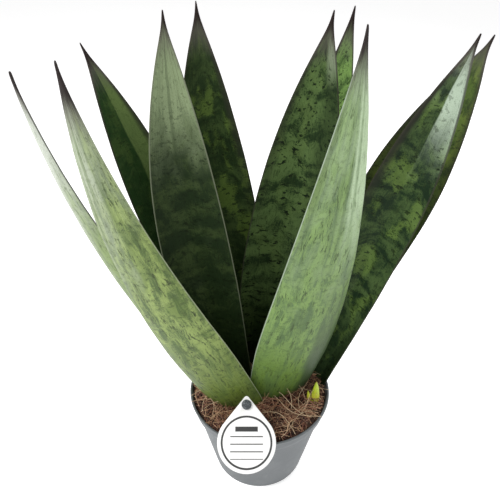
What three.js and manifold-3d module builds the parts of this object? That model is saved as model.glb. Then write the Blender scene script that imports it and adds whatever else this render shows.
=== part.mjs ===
// Potted snake plant: a rosette clump of upright sword-shaped leaves in a small plastic nursery pot,
// with a new shoot, a coir top dressing and a blank plant label on a peg.
// Millimetres, +Z up. The origin is the centre of the pot's base, on the surface that the pot stands on.
import * as THREE from "three";
import { mergeVertices } from "three/addons/utils/BufferGeometryUtils.js";
import Module from "manifold-3d";

const wasm = await Module();
wasm.setup();

const GAP = 0.35; // room between pieces that touch

// Pot: a thin tapered wall with a collar under the rim, and a floor with a raised channel for drainage.
const POT_HEIGHT = 85;
const RIM_RADIUS = 60;
const BASE_RADIUS = 40;
const WALL = 1.3;
const LIP_HEIGHT = 2;
const LIP_WIDTH = 1.8;
const COLLAR_HEIGHT = 14;
const COLLAR_STEP = 2;
const COLLAR_FLARE = 1.6;
const FLOOR = 1.6;
const FOOT_WIDTH = 4;
const CHANNEL_RISE = 3;
const CENTRE_PAD_RADIUS = 17;
const DRAIN_HOLES = 6;
const DRAIN_RADIUS = 3.5;
const POT_SEGMENTS = 48;

// Growing medium: a body of potting soil, and a springy layer of coir on top of it.
const SOIL_TOP = 73;
const COIR_EDGE_TOP = 80.5;
const COIR_CROWN = 2.5;
const COIR_ROUGHNESS = 0.7;
const COIR_RINGS = 6;

// Leaves. Each grows from the rhizome, leaves the coir at its foot, and passes through middle to its tip.
const SURFACE = 80; // height of every leaf's foot
const BURIED = 0.062; // share of a leaf's length that is below its foot
const ROOT_SHARE = 0.38; // width where the leaf meets the rhizome, as a share of the widest
const SPINE_START = 0.965; // where the blade ends and the hard pointed tip begins
const SPINE_HALF_WIDTH = 1.3;
const TIP_HALF_WIDTH = 0.35;
const FOOT_THICKNESS = 4.4;
const BLADE_THICKNESS = 2.2;
const TIP_THICKNESS = 0.9;
const MARGIN_THICKNESS = 0.8;
const STOUT_SHARE = 0.4; // how far up the thick lower part of a blade reaches
const LEAF_LENGTH = 300; // about, for turning a clearance into a share of the length
const BLADE_ACROSS = 6;
const BLADE_ALONG = 18;

// Three outlines that the blades share. base is the width at the foot as a share of the widest, which comes
// belly of the way up, and a larger taper keeps the blade broad for longer.
const STRAP = { base: 0.85, belly: 0.2, taper: 1.5 };
const SWORD = { base: 0.65, belly: 0.35, taper: 2.2 };
const SPEAR = { base: 0.6, belly: 0.55, taper: 1.9 };
const CUP = [80, 50]; // arc of the blade's section at its foot and at its tip, in degrees
const MIDDLE_RISE = 0.52; // height of a leaf's middle, as a share of its rise from foot to tip

// bow is how far a leaf's middle stands out past the straight line from foot to tip. faces is the bearing that
// the upper side of the blade looks towards, in degrees from +X, and twist turns it on the way up.
const LEAVES = [
  { name: "leaf_far_left", foot: [-38, -1], tip: [-150, -5, 360], bow: 20,
    width: 45, faces: 50, twist: -10, outline: STRAP },
  { name: "leaf_front_left", foot: [-18, -21], tip: [-105, -55, 380], bow: 18,
    width: 55, faces: 80, twist: -10, outline: STRAP },
  { name: "leaf_back_left", foot: [-37, 23], tip: [-125, 60, 360], bow: -8,
    width: 40, faces: 300, twist: 0, outline: SPEAR },
  { name: "leaf_centre_left", foot: [-22, 12], tip: [-60, 15, 390], bow: 10,
    width: 55, faces: 270, twist: 0, outline: SWORD },
  { name: "leaf_back_centre_left", foot: [-3, 42], tip: [-45, 70, 385], bow: 10,
    width: 60, faces: 270, twist: 0, outline: SWORD },
  { name: "leaf_centre", foot: [3, 25], tip: [45, 40, 385], bow: 0,
    width: 65, faces: 260, twist: 0, outline: SWORD },
  { name: "leaf_back_centre", foot: [20, 47], tip: [65, 80, 380], bow: 0,
    width: 45, faces: 260, twist: 0, outline: SWORD },
  { name: "leaf_front_right", foot: [19, -9], tip: [50, -45, 395], bow: 12,
    width: 70, faces: 110, twist: 0, outline: STRAP },
  { name: "leaf_right", foot: [46, 13], tip: [125, 0, 380], bow: 0,
    width: 45, faces: 240, twist: 0, outline: SPEAR },
  { name: "leaf_back_right", foot: [41, 31], tip: [150, 40, 370], bow: 0,
    width: 60, faces: 230, twist: 0, outline: SPEAR },
];

// Rhizome: the buried stem that the leaves grow from, a main length with branches.
const RHIZOME_RADIUS = 7.5;
const RHIZOME_TOP = 64;
const RHIZOME_RUNS = [
  { from: [-34, 2], to: [38, 12] },
  { from: [-12, -12], to: [-3, 35] },
  { from: [20, -8], to: [20, 34] },
];

// New shoot: two rolled leaf tips that come out of one sheath.
const SHOOT_AT = [47, -13];
const SHOOT_BOTTOM = 66;
const SHOOT_HEIGHT = 36;
const SHOOT_RADIUS = 3.6;
const SHOOT_SEGMENTS = 16;
const SHOOT_SIDE_TIP = { shift: 2.2, height: 31, radius: 2.6, lean: 6 };

// Label: a stiff white drop-shaped card that leans over the rim, on a plastic peg pushed into the soil.
const LABEL_RADIUS = 23;
const LABEL_POINT = 35; // from the centre of the round part to the point
const LABEL_POINT_ROUND = 2;
const LABEL_THICKNESS = 0.8;
const LABEL_SLOPE = 42; // degrees from level
const LABEL_CENTRE = [-11, -58.5, 86.6];
const HOLE_RADIUS = 2.4;
const HOLE_REACH = 28.5; // from the centre of the round part to the peg's hole
const PEG_HEAD_RADIUS = 3.9;
const PEG_HEAD_HEIGHT = 1.8;
const PEG_NECK_RADIUS = 2;
const PEG_FLANGE = 1.6;
const PEG_BLADE_WIDTH = 4;
const PEG_BLADE_THICKNESS = 1.6;
const PEG_BOTTOM = 50;

const radians = THREE.MathUtils.degToRad;
const lerp = THREE.MathUtils.lerp;
const clamp = THREE.MathUtils.clamp;

// ---------------------------------------------------------------- solids

function solidOf(geometry) {
  const bare = new THREE.BufferGeometry().setAttribute("position", geometry.getAttribute("position"));
  if (geometry.index) bare.setIndex(geometry.index);
  const merged = mergeVertices(bare, 1e-3);
  return new wasm.Manifold(new wasm.Mesh({
    numProp: 3,
    vertProperties: merged.getAttribute("position").array,
    triVerts: new Uint32Array(merged.index.array),
  }));
}

function geometryOf(solid) {
  const mesh = solid.getMesh();
  const geometry = new THREE.BufferGeometry();
  geometry.setAttribute("position", new THREE.BufferAttribute(mesh.vertProperties, 3));
  geometry.setIndex(new THREE.BufferAttribute(mesh.triVerts, 1));
  geometry.computeVertexNormals();
  return geometry;
}

// Turns [radius, height] points round the Z axis.
function turned(profile, segments) {
  const points = profile.map(([radius, height]) => new THREE.Vector2(radius, height));
  return new THREE.LatheGeometry(points, segments).rotateX(Math.PI / 2);
}

// ---------------------------------------------------------------- pot

const wallTop = POT_HEIGHT - COLLAR_HEIGHT;
const collarRadius = RIM_RADIUS - 1;
const wallTopRadius = collarRadius - COLLAR_FLARE - COLLAR_STEP;
const channelInner = CENTRE_PAD_RADIUS + CHANNEL_RISE;
const channelOuter = BASE_RADIUS - FOOT_WIDTH - CHANNEL_RISE;

// The inside of the pot from the floor's centre to the rim, moved into the pot by inset.
function potInside(inset) {
  const floor = FLOOR + inset;
  const wall = WALL + inset;
  return [
    [0, floor],
    [CENTRE_PAD_RADIUS, floor],
    [channelInner, floor + CHANNEL_RISE],
    [channelOuter, floor + CHANNEL_RISE],
    [BASE_RADIUS - FOOT_WIDTH, floor],
    [BASE_RADIUS - wall, floor],
    [wallTopRadius - wall, wallTop],
    [collarRadius - COLLAR_FLARE - wall, wallTop + COLLAR_STEP],
    [collarRadius - wall, POT_HEIGHT - LIP_HEIGHT],
  ];
}

function potGeometry() {
  const outside = [
    [0, 0],
    [CENTRE_PAD_RADIUS, 0],
    [channelInner, CHANNEL_RISE],
    [channelOuter, CHANNEL_RISE],
    [BASE_RADIUS - FOOT_WIDTH, 0],
    [BASE_RADIUS, 0],
    [wallTopRadius, wallTop],
    [collarRadius - COLLAR_FLARE, wallTop + COLLAR_STEP],
    [collarRadius, POT_HEIGHT - LIP_HEIGHT],
    [RIM_RADIUS, POT_HEIGHT - LIP_HEIGHT / 2],
    [RIM_RADIUS, POT_HEIGHT],
    [RIM_RADIUS - LIP_WIDTH, POT_HEIGHT],
  ];
  const shell = solidOf(turned([...outside, ...potInside(0).reverse()], POT_SEGMENTS));
  const holes = [];
  for (let i = 0; i < DRAIN_HOLES; i += 1) {
    const bearing = (i + 0.5) * (2 * Math.PI / DRAIN_HOLES);
    const reach = (channelInner + channelOuter) / 2;
    const hole = new THREE.CylinderGeometry(DRAIN_RADIUS, DRAIN_RADIUS, 20, 16).rotateX(Math.PI / 2);
    holes.push(solidOf(hole.translate(reach * Math.cos(bearing), reach * Math.sin(bearing), 0)));
  }
  return geometryOf(holes.reduce((pot, hole) => pot.subtract(hole), shell));
}

// ---------------------------------------------------------------- leaves

// Where a leaf is at t, from 0 at its foot to 1 at its tip: a smooth curve through foot, middle and tip.
function midline(leaf, t) {
  const foot = new THREE.Vector3(...leaf.foot, SURFACE);
  const tip = new THREE.Vector3(...leaf.tip);
  const outward = new THREE.Vector3(tip.x - foot.x, tip.y - foot.y, 0).normalize();
  const middle = foot.clone().add(tip).multiplyScalar(0.5).addScaledVector(outward, leaf.bow);
  middle.z = lerp(foot.z, tip.z, MIDDLE_RISE);
  const control = middle.multiplyScalar(2).addScaledVector(foot, -0.5).addScaledVector(tip, -0.5);
  const at = new THREE.Vector3()
    .addScaledVector(foot, (1 - t) ** 2)
    .addScaledVector(control, 2 * t * (1 - t))
    .addScaledVector(tip, t ** 2);
  const along = new THREE.Vector3()
    .addScaledVector(foot, t - 1)
    .addScaledVector(control, 1 - 2 * t)
    .addScaledVector(tip, t)
    .normalize();
  return { at, along };
}

function halfWidth(leaf, t) {
  const half = leaf.width / 2;
  if (t < 0) return half * lerp(leaf.outline.base, ROOT_SHARE, -t / BURIED);
  const { base, belly, taper } = leaf.outline;
  if (t < belly) return half * lerp(base, 1, Math.sin((Math.PI / 2) * (t / belly)));
  const past = clamp((t - belly) / (SPINE_START - belly), 0, 1);
  const spine = lerp(SPINE_HALF_WIDTH, TIP_HALF_WIDTH, clamp((t - SPINE_START) / (1 - SPINE_START), 0, 1));
  return (half - SPINE_HALF_WIDTH) * (1 - past ** taper) + spine;
}

function thickness(t) {
  if (t < STOUT_SHARE) return lerp(FOOT_THICKNESS, BLADE_THICKNESS, Math.max(t, 0) / STOUT_SHARE);
  return lerp(BLADE_THICKNESS, TIP_THICKNESS, ((t - STOUT_SHARE) / (1 - STOUT_SHARE)) ** 2);
}

// A block bent into a leaf: across runs -1 to 1 over the blade, t along it, and side is -1 below and 1 above.
function leafGeometry(leaf, grow = 0, topT = 1) {
  const geometry = new THREE.BoxGeometry(2, 1, 2, BLADE_ACROSS, BLADE_ALONG, 1);
  const position = geometry.getAttribute("position");
  const bottomT = -BURIED - grow / LEAF_LENGTH;
  for (let i = 0; i < position.count; i += 1) {
    const across = position.getX(i);
    const t = lerp(bottomT, topT, position.getY(i) + 0.5);
    const side = position.getZ(i);
    const { at, along } = midline(leaf, t);
    const bearing = radians(leaf.faces);
    const upper = new THREE.Vector3(Math.cos(bearing), Math.sin(bearing), 0);
    upper.addScaledVector(along, -upper.dot(along)).normalize();
    upper.applyAxisAngle(along, radians(leaf.twist) * t);
    const right = new THREE.Vector3().crossVectors(along, upper);
    const half = halfWidth(leaf, t) + grow;
    const bend = radians(lerp(CUP[1], CUP[0], (1 - clamp(t, 0, 1)) ** 2)) / 2;
    const radius = half / bend;
    const angle = across * bend;
    const middleThick = thickness(t) / 2;
    const thick = lerp(middleThick, Math.min(MARGIN_THICKNESS / 2, middleThick), across ** 2) + grow;
    const out = radius - side * thick;
    at.addScaledVector(right, out * Math.sin(angle));
    at.addScaledVector(upper, radius - out * Math.cos(angle));
    position.setXYZ(i, at.x, at.y, at.z);
  }
  return geometry;
}

// ---------------------------------------------------------------- rhizome and new shoot

function rhizomeSolid(radius) {
  const height = RHIZOME_TOP - RHIZOME_RADIUS;
  const runs = RHIZOME_RUNS.map(({ from, to }) => {
    const start = new THREE.Vector3(...from, height);
    const end = new THREE.Vector3(...to, height);
    const capsule = new THREE.CapsuleGeometry(radius, start.distanceTo(end), 3, 12, 1);
    const direction = end.clone().sub(start).normalize();
    const turn = new THREE.Quaternion().setFromUnitVectors(new THREE.Vector3(0, 1, 0), direction);
    return solidOf(capsule.applyQuaternion(turn).translate(...start.lerp(end, 0.5).toArray()));
  });
  return runs.reduce((whole, run) => whole.add(run));
}

function budSolid(radius, height) {
  const profile = [[0, 0], [0.75, 0.02], [0.95, 0.3], [1, 0.6], [0.8, 0.78], [0.4, 0.91], [0, 1]];
  return turned(profile.map(([across, up]) => [across * radius, up * height]), SHOOT_SEGMENTS);
}

function shootSolid(grow) {
  const main = budSolid(SHOOT_RADIUS + grow, SHOOT_HEIGHT + 2 * grow);
  const side = budSolid(SHOOT_SIDE_TIP.radius + grow, SHOOT_SIDE_TIP.height + 2 * grow)
    .rotateY(radians(-SHOOT_SIDE_TIP.lean))
    .translate(-SHOOT_SIDE_TIP.shift, 0, 0.4);
  return solidOf(main).add(solidOf(side)).translate([...SHOOT_AT, SHOOT_BOTTOM - grow]);
}

// ---------------------------------------------------------------- label and peg

// The label lies flat on XY with its point towards +Y, before it is tilted over the rim.
function labelShape() {
  const tangent = Math.asin((LABEL_RADIUS - LABEL_POINT_ROUND) / LABEL_POINT);
  const shape = new THREE.Shape();
  shape.absarc(0, 0, LABEL_RADIUS, Math.PI - tangent, 2 * Math.PI + tangent, false);
  shape.absarc(0, LABEL_POINT - LABEL_POINT_ROUND, LABEL_POINT_ROUND, tangent, Math.PI - tangent, false);
  const hole = new THREE.Path();
  hole.absarc(0, HOLE_REACH, HOLE_RADIUS, 0, 2 * Math.PI, true);
  shape.holes.push(hole);
  return shape;
}

function placeOnRim(geometry) {
  return geometry.rotateX(radians(LABEL_SLOPE)).translate(...LABEL_CENTRE);
}

function labelGeometry() {
  return placeOnRim(new THREE.ExtrudeGeometry(labelShape(),
    { depth: LABEL_THICKNESS, bevelEnabled: false, curveSegments: 20 }));
}

// The peg's round head, with the neck through the label's hole and the flange behind it.
function pegHeadSolid() {
  const front = LABEL_THICKNESS + GAP;
  const flange = PEG_HEAD_RADIUS - 1;
  const profile = [
    [0, -GAP - PEG_FLANGE],
    [flange, -GAP - PEG_FLANGE],
    [flange, -GAP],
    [PEG_NECK_RADIUS, -GAP],
    [PEG_NECK_RADIUS, front],
    [PEG_HEAD_RADIUS, front],
    [PEG_HEAD_RADIUS * 0.93, front + PEG_HEAD_HEIGHT * 0.5],
    [PEG_HEAD_RADIUS * 0.6, front + PEG_HEAD_HEIGHT * 0.9],
    [0, front + PEG_HEAD_HEIGHT],
  ];
  return solidOf(placeOnRim(turned(profile, 20).translate(0, HOLE_REACH, 0)));
}

// The upright blade below the head, pointed at the bottom.
function pegBladeSolid(grow) {
  const slope = radians(LABEL_SLOPE);
  const top = LABEL_CENTRE[2] + HOLE_REACH * Math.sin(slope) - 1;
  const back = LABEL_CENTRE[1] + HOLE_REACH * Math.cos(slope) + PEG_BLADE_THICKNESS;
  const half = PEG_BLADE_WIDTH / 2 + grow;
  const outline = new THREE.Shape();
  outline.moveTo(-half, top);
  outline.lineTo(-half, PEG_BOTTOM + 8);
  outline.lineTo(0, PEG_BOTTOM - 2 * grow);
  outline.lineTo(half, PEG_BOTTOM + 8);
  outline.lineTo(half, top);
  const depth = PEG_BLADE_THICKNESS + 2 * grow;
  const blade = new THREE.ExtrudeGeometry(outline, { depth, bevelEnabled: false });
  return solidOf(blade.rotateX(Math.PI / 2).translate(LABEL_CENTRE[0], back + grow, 0));
}

// ---------------------------------------------------------------- growing medium

function soilSolid() {
  const inside = potInside(GAP).slice(0, 6);
  const wallShare = (SOIL_TOP - FLOOR) / (wallTop - FLOOR);
  const edge = lerp(BASE_RADIUS, wallTopRadius, Math.min(wallShare, 1)) - WALL - GAP;
  return solidOf(turned([...inside, [edge - 0.3, wallTop - 1], [edge - 0.3, SOIL_TOP], [0, SOIL_TOP]],
    POT_SEGMENTS));
}

function coirSolid() {
  const bottom = SOIL_TOP + GAP;
  const slope = COLLAR_FLARE / (COLLAR_HEIGHT - LIP_HEIGHT - COLLAR_STEP);
  const lowEdge = collarRadius - COLLAR_FLARE - WALL - 2 * GAP;
  const topEdge = lowEdge + slope * (COIR_EDGE_TOP - bottom);
  const profile = [[0, bottom], [lowEdge, bottom], [topEdge, COIR_EDGE_TOP]];
  for (let ring = COIR_RINGS - 1; ring >= 0; ring -= 1) {
    const share = ring / COIR_RINGS;
    profile.push([share * topEdge, COIR_EDGE_TOP + COIR_CROWN * (1 - share ** 2)]);
  }
  const geometry = turned(profile, POT_SEGMENTS);
  const position = geometry.getAttribute("position");
  for (let i = 0; i < position.count; i += 1) {
    const [x, y, z] = [position.getX(i), position.getY(i), position.getZ(i)];
    const inward = Math.hypot(x, y) < topEdge - 1 && z > COIR_EDGE_TOP;
    if (inward) position.setZ(i, z + COIR_ROUGHNESS * Math.sin(x / 4.3 + 1) * Math.cos(y / 5.1));
  }
  return solidOf(geometry);
}

// Everything that stands in the soil or the coir, a little enlarged, to make room for it.
function plantedSolids() {
  const leaves = LEAVES.map((leaf) => solidOf(leafGeometry(leaf, GAP, 0.2)));
  return [...leaves, shootSolid(GAP), pegBladeSolid(GAP)];
}

function without(solid, cutters) {
  return cutters.reduce((rest, cutter) => rest.subtract(cutter), solid);
}

// ---------------------------------------------------------------- assembly

const greyPlastic = new THREE.MeshStandardMaterial({ color: 0x6f7678, roughness: 0.45, metalness: 0 });
const darkSoil = new THREE.MeshStandardMaterial({ color: 0x2b1f17, roughness: 1, metalness: 0 });
const coir = new THREE.MeshStandardMaterial({ color: 0x6b4630, roughness: 1, metalness: 0 });
const rhizomeSkin = new THREE.MeshStandardMaterial({ color: 0xb98a4e, roughness: 0.7, metalness: 0 });
const shadedLeaf = new THREE.MeshStandardMaterial({ color: 0x35502f, roughness: 0.4, metalness: 0 });
const paleLeaf = new THREE.MeshStandardMaterial({ color: 0x7d9b62, roughness: 0.45, metalness: 0 });
const youngLeaf = new THREE.MeshStandardMaterial({ color: 0xb9cf2e, roughness: 0.4, metalness: 0 });
const whiteCard = new THREE.MeshStandardMaterial({ color: 0xf2f2ef, roughness: 0.5, metalness: 0 });
const blackPlastic = new THREE.MeshStandardMaterial({ color: 0x2a2d2f, roughness: 0.4, metalness: 0 });

const PALE_LEAVES = ["leaf_far_left", "leaf_front_left", "leaf_front_right"];

const planted = plantedSolids();
const plant = new THREE.Group();

function addPiece(name, geometry, material) {
  const mesh = new THREE.Mesh(geometry, material);
  mesh.name = name;
  plant.add(mesh);
}

addPiece("pot", potGeometry(), greyPlastic);
for (const leaf of LEAVES) {
  addPiece(leaf.name, leafGeometry(leaf), PALE_LEAVES.includes(leaf.name) ? paleLeaf : shadedLeaf);
}
addPiece("new_shoot", geometryOf(shootSolid(0)), youngLeaf);
addPiece("rhizome", geometryOf(without(rhizomeSolid(RHIZOME_RADIUS), planted)), rhizomeSkin);
addPiece("potting_soil", geometryOf(without(soilSolid(), [...planted, rhizomeSolid(RHIZOME_RADIUS + GAP)])),
  darkSoil);
addPiece("coir_top_dressing", geometryOf(without(coirSolid(), planted)), coir);
addPiece("label_card", labelGeometry(), whiteCard);
addPiece("label_peg", geometryOf(pegHeadSolid().add(pegBladeSolid(0))), blackPlastic);

export default plant;
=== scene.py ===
# A snake plant in a small nursery pot, built up piece by piece around its frame.
# Metres, +Z up, with the origin under the middle of the pot and the label's side towards -Y.
import math
import random

import bmesh
import bpy
from mathutils import Matrix, Vector


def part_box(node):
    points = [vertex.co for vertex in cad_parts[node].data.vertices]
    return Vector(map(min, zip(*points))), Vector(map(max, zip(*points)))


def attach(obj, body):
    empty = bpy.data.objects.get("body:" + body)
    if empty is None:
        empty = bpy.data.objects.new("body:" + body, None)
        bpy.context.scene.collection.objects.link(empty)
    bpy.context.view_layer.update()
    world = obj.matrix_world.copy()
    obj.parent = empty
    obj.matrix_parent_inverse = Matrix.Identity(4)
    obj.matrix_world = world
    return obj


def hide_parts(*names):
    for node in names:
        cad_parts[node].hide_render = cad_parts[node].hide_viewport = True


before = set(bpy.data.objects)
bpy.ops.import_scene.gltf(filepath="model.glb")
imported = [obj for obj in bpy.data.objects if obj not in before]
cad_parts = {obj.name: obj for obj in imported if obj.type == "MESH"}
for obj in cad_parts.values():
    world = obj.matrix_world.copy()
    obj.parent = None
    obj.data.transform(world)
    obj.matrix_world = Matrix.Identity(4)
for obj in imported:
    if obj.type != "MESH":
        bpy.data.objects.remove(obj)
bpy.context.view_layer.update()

# ------------------------------------------------------------------ studio
# A pale seamless floor, an even white room, and the camera standing in front of the plant and looking
# down into the pot. None of it is part of the object.

STUDIO_WHITE = (1.0, 1.0, 1.0, 1.0)
ROOM_STRENGTH = 0.55
FLOOR_SIZE = 12.0
FLOOR_TONE = (0.93, 0.93, 0.93, 1)
FLOOR_GLOW = 0.42
LAMPS_AIM_AT = Vector((0, 0, 0.2))
CAMERA_PLACE = (-0.0083, -0.336, 0.458)
CAMERA_TILT = math.radians(56.2)
CAMERA_LENS = 40.3

bpy.context.scene.view_settings.view_transform = "Standard"
room = bpy.context.scene.world or bpy.data.worlds.new("white_room")
bpy.context.scene.world = room
room.use_nodes = True
room.node_tree.nodes["Background"].inputs["Color"].default_value = STUDIO_WHITE
room.node_tree.nodes["Background"].inputs["Strength"].default_value = ROOM_STRENGTH

bpy.ops.object.select_all(action="DESELECT")
bpy.ops.mesh.primitive_plane_add(size=FLOOR_SIZE, location=(0, 0, 0))
floor = bpy.context.object
floor.name = "studio_floor"
floor_paint = bpy.data.materials.new("floor_paint")
floor_paint.use_nodes = True
paint = floor_paint.node_tree.nodes["Principled BSDF"].inputs
paint["Base Color"].default_value = FLOOR_TONE
paint["Roughness"].default_value = 0.9
paint["Emission Color"].default_value = STUDIO_WHITE
paint["Emission Strength"].default_value = FLOOR_GLOW
floor.data.materials.append(floor_paint)

for name, place, size, power in [
    ("window_light", (-0.80, -0.20, 1.00), 0.7, 13.0),
    ("front_fill", (0.55, -1.1, 0.75), 0.9, 2.5),
    ("back_light", (0.75, 0.5, 0.9), 0.8, 6.0),
]:
    bpy.ops.object.light_add(type="AREA", location=place)
    lamp = bpy.context.object
    lamp.name = name
    lamp.data.size = size
    lamp.data.energy = power
    lamp.rotation_euler = (LAMPS_AIM_AT - Vector(place)).to_track_quat("-Z", "Y").to_euler()

bpy.ops.object.camera_add(location=CAMERA_PLACE, rotation=(CAMERA_TILT, 0, 0))
camera = bpy.context.object
camera.data.sensor_width = 36
camera.data.lens = CAMERA_LENS
camera.data.clip_start = 0.01
bpy.context.scene.camera = camera

# ------------------------------------------------------------------ pot
# A thin injection-moulded nursery pot in cool grey plastic, satin from the mould and a little dusty.
# The wall tapers down from a rolled lip and a flared collar to a foot ring with drain holes inside it.


class Value:
    """A number or colour that changes over a surface. Arithmetic on it adds nodes to its finish."""

    def __init__(self, finish, socket):
        self.finish = finish
        self.socket = socket

    def _maths(self, operation, first, second):
        return self.finish.node("ShaderNodeMath", {"operation": operation}, {0: first, 1: second})

    def __add__(self, other):
        return self._maths("ADD", self, other)

    def __radd__(self, other):
        return self._maths("ADD", other, self)

    def __sub__(self, other):
        return self._maths("SUBTRACT", self, other)

    def __rsub__(self, other):
        return self._maths("SUBTRACT", other, self)

    def __mul__(self, other):
        return self._maths("MULTIPLY", self, other)

    def __rmul__(self, other):
        return self._maths("MULTIPLY", other, self)

    def __truediv__(self, other):
        return self._maths("DIVIDE", self, other)

    def __pow__(self, other):
        return self._maths("POWER", self, other)

    def size(self):
        return self._maths("ABSOLUTE", self, 0.0)

    def between(self, low, high):
        """0 below low and 1 above high, with a soft step between. low may be the higher one."""
        return self.finish.node(
            "ShaderNodeMapRange",
            {"interpolation_type": "SMOOTHSTEP"},
            {"Value": self, "From Min": low, "From Max": high, "To Min": 0.0, "To Max": 1.0},
        )

    def partner(self, output):
        """Another output of the node that this value comes from."""
        return Value(self.finish, self.socket.node.outputs[output])


class Finish:
    """One material: its shader, and the nodes that vary what goes into it."""

    def __init__(self, name, **fixed):
        self.material = bpy.data.materials.new(name)
        self.material.use_nodes = True
        self.tree = self.material.node_tree
        self.shader = self.tree.nodes["Principled BSDF"]
        for socket, value in fixed.items():
            self.shader.inputs[socket.replace("_", " ")].default_value = value

    def node(self, kind, settings=None, sockets=None, output=0):
        made = self.tree.nodes.new(kind)
        for name, value in (settings or {}).items():
            setattr(made, name, value)
        for key, value in (sockets or {}).items():
            if isinstance(value, Value):
                self.tree.links.new(value.socket, made.inputs[key])
            else:
                made.inputs[key].default_value = value
        return Value(self, made.outputs[output])

    def place(self):
        """Where a point of the piece is, in metres."""
        return self.node("ShaderNodeTexCoord", output="Object")

    def across_and_along(self):
        """The two halves of the piece's own map, each running from 0 to 1."""
        chart = self.node("ShaderNodeUVMap", {"uv_map": "UVMap"})
        parts = self.node("ShaderNodeSeparateXYZ", sockets={"Vector": chart})
        return parts, parts.partner("Y")

    def point(self, x, y, z=0.0):
        return self.node("ShaderNodeCombineXYZ", sockets={"X": x, "Y": y, "Z": z})

    def mottle(self, where, scale, detail=2.0, roughness=0.5, warp=0.0):
        return self.node(
            "ShaderNodeTexNoise",
            sockets={"Vector": where, "Scale": scale, "Detail": detail, "Roughness": roughness,
                     "Distortion": warp},
        )

    def tint(self, amount, under, over):
        """under with over laid on it, as thickly as amount says."""
        return self.node(
            "ShaderNodeMix",
            {"data_type": "RGBA"},
            {"Factor": amount, 6: under, 7: over},
            output=2,
        )

    def wear(self, **varied):
        """Links what varies over the surface to the shader."""
        for socket, value in varied.items():
            self.tree.links.new(value.socket, self.shader.inputs[socket.replace("_", " ")])

    def relief(self, height, depth):
        """Raises the surface by height times depth, in metres."""
        bump = self.node(
            "ShaderNodeBump",
            sockets={"Strength": 1.0, "Distance": depth, "Height": height},
        )
        self.wear(Normal=bump)

    def put_on(self, piece):
        piece.data.materials.clear()
        piece.data.materials.append(self.material)


def ring_piece(name, outline, around):
    """A turned piece, raised ring by ring from a circle: outline is its [radius, height] steps in metres."""
    bpy.ops.object.select_all(action="DESELECT")
    radius, height = outline[0]
    bpy.ops.mesh.primitive_circle_add(
        vertices=around, radius=radius, fill_type="NOTHING", location=(0, 0, height))
    piece = bpy.context.object
    piece.name = name
    bpy.ops.object.mode_set(mode="EDIT")
    bpy.ops.mesh.select_all(action="SELECT")
    bpy.ops.mesh.edge_face_add()
    bpy.ops.mesh.select_mode(type="EDGE")
    for next_radius, next_height in outline[1:]:
        bpy.ops.mesh.extrude_edges_move(TRANSFORM_OT_translate={"value": (0, 0, next_height - height)})
        share = next_radius / radius
        bpy.ops.transform.resize(value=(share, share, 1), center_override=(0, 0, next_height))
        radius, height = next_radius, next_height
    bpy.ops.mesh.edge_face_add()
    bpy.ops.mesh.select_all(action="SELECT")
    bpy.ops.mesh.normals_make_consistent(inside=False)
    bpy.ops.object.mode_set(mode="OBJECT")
    bpy.ops.object.transform_apply(location=True, rotation=True, scale=True)
    return piece


def smooth_by_angle(piece, degrees):
    bpy.ops.object.select_all(action="DESELECT")
    bpy.context.view_layer.objects.active = piece
    piece.select_set(True)
    bpy.ops.object.shade_smooth_by_angle(angle=math.radians(degrees))


def apply_modifier(piece, kind, **settings):
    bpy.ops.object.select_all(action="DESELECT")
    bpy.context.view_layer.objects.active = piece
    piece.select_set(True)
    modifier = piece.modifiers.new(kind.lower(), kind)
    for key, value in settings.items():
        setattr(modifier, key, value)
    bpy.ops.object.modifier_apply(modifier=modifier.name)


DRAIN_HOLES = 6
DRAIN_RADIUS = 0.0035
DRAIN_REACH = 0.0265

pot = ring_piece("nursery_pot", [
    (0.0165, 0.0000), (0.0172, 0.0002), (0.0196, 0.0027), (0.0203, 0.0030),
    (0.0327, 0.0030), (0.0334, 0.0027), (0.0356, 0.0003), (0.0362, 0.0000),
    (0.0392, 0.0000), (0.0398, 0.0002), (0.0401, 0.0009), (0.0404, 0.0020),
    (0.0440, 0.0190), (0.0482, 0.0390), (0.0520, 0.0570), (0.0547, 0.0700),
    (0.0550, 0.0713), (0.0555, 0.0720), (0.0566, 0.0726), (0.0572, 0.0733),
    (0.0578, 0.0766), (0.0584, 0.0800), (0.0588, 0.0821), (0.0592, 0.0830),
    (0.0598, 0.0834), (0.0600, 0.0839), (0.0600, 0.0845), (0.0598, 0.0849),
    (0.0593, 0.0850), (0.0586, 0.0849), (0.0582, 0.0845), (0.0577, 0.0830),
    (0.0571, 0.0800), (0.0560, 0.0740), (0.0556, 0.0731), (0.0543, 0.0718),
    (0.0538, 0.0705), (0.0470, 0.0400), (0.0392, 0.0030), (0.0386, 0.0017),
    (0.0362, 0.0016), (0.0330, 0.0046), (0.0200, 0.0046), (0.0165, 0.0016),
], 128)

bpy.ops.object.select_all(action="DESELECT")
for turn in range(DRAIN_HOLES):
    bearing = math.radians((turn + 0.5) * 360 / DRAIN_HOLES)
    bpy.ops.mesh.primitive_cylinder_add(
        vertices=32, radius=DRAIN_RADIUS, depth=0.02,
        location=(DRAIN_REACH * math.cos(bearing), DRAIN_REACH * math.sin(bearing), 0.004))
    drill = bpy.context.object
    apply_modifier(pot, "BOOLEAN", operation="DIFFERENCE", object=drill, solver="EXACT")
    bpy.data.objects.remove(drill)
smooth_by_angle(pot, 38)

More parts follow.
